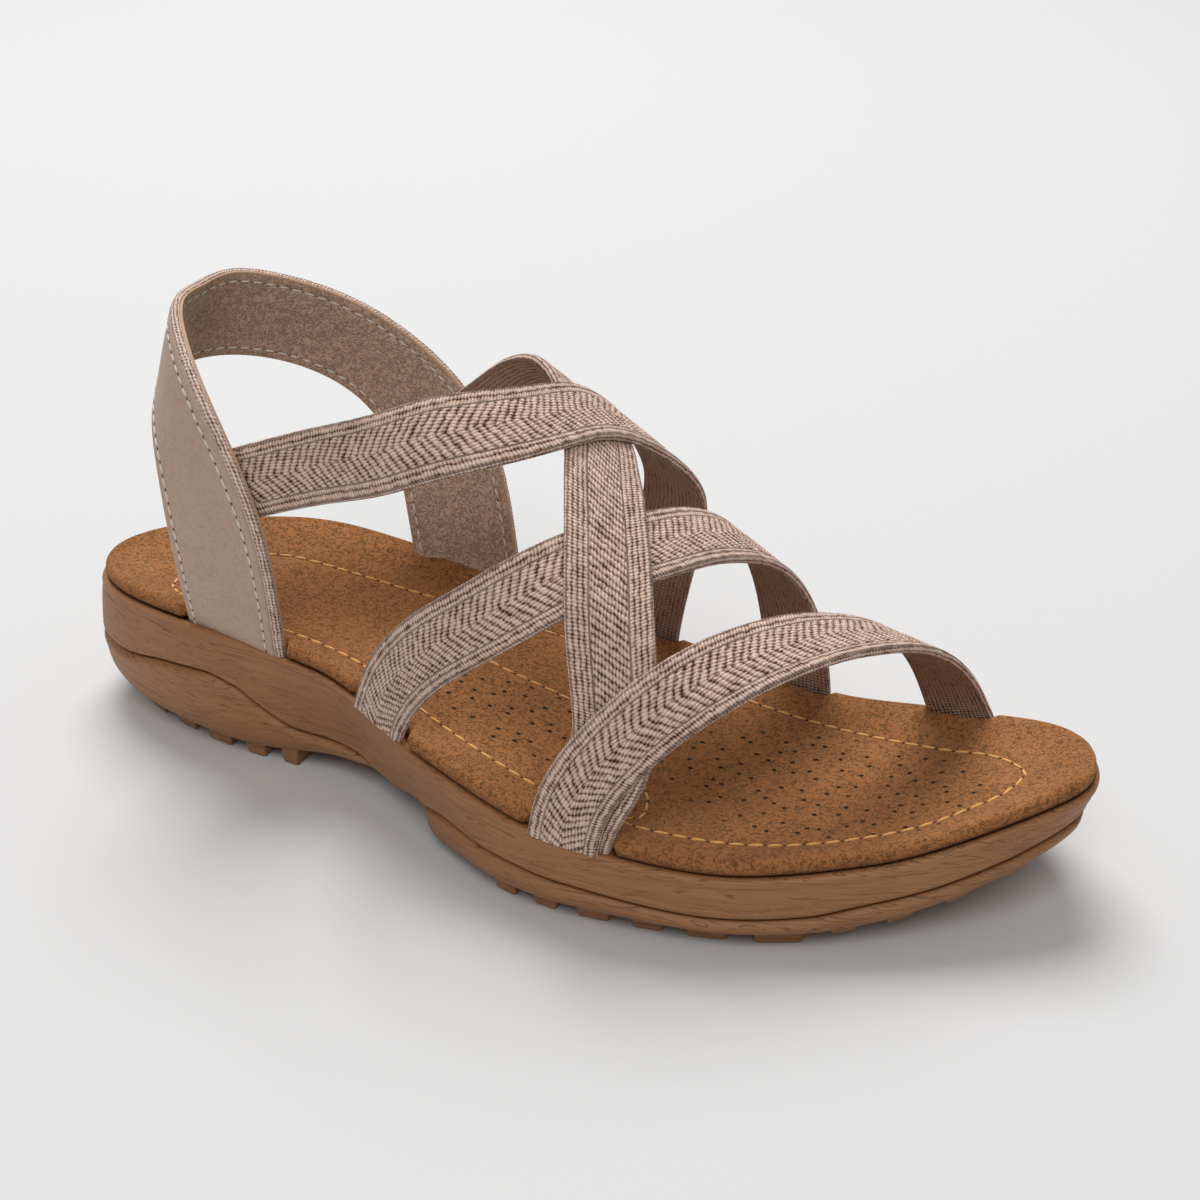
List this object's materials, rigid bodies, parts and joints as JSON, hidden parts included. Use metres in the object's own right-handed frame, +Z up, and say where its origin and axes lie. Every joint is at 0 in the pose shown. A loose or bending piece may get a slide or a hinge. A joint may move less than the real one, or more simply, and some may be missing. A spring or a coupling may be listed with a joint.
{
  "type": "cross strap sandal",
  "caption": "Right sandal with crossed elastic straps over the foot, a leather strap behind the heel, a padded foot bed and a low lugged rubber sole.",
  "frame": {"origin": "middle of the shoe's footprint box, on the floor", "axes": "+X from the heel to the toe, +Y to the inner side of the foot, +Z up"},
  "size_m": [0.2686, 0.0978, 0.1196],
  "materials": {
    "gum_rubber": "satin moulded foam and rubber",
    "suede_foot_bed": "napped suede",
    "strap_leather": "smooth fine grain",
    "elastic_webbing": "herringbone knit"
  },
  "bodies": {
    "root": {"midsole": "gum_rubber", "outsole_heel": "gum_rubber", "outsole_forefoot": "gum_rubber", "insole": "suede_foot_bed", "heel_strap": "strap_leather", "cross_straps": "elastic_webbing"}
  },
  "joints": []
}
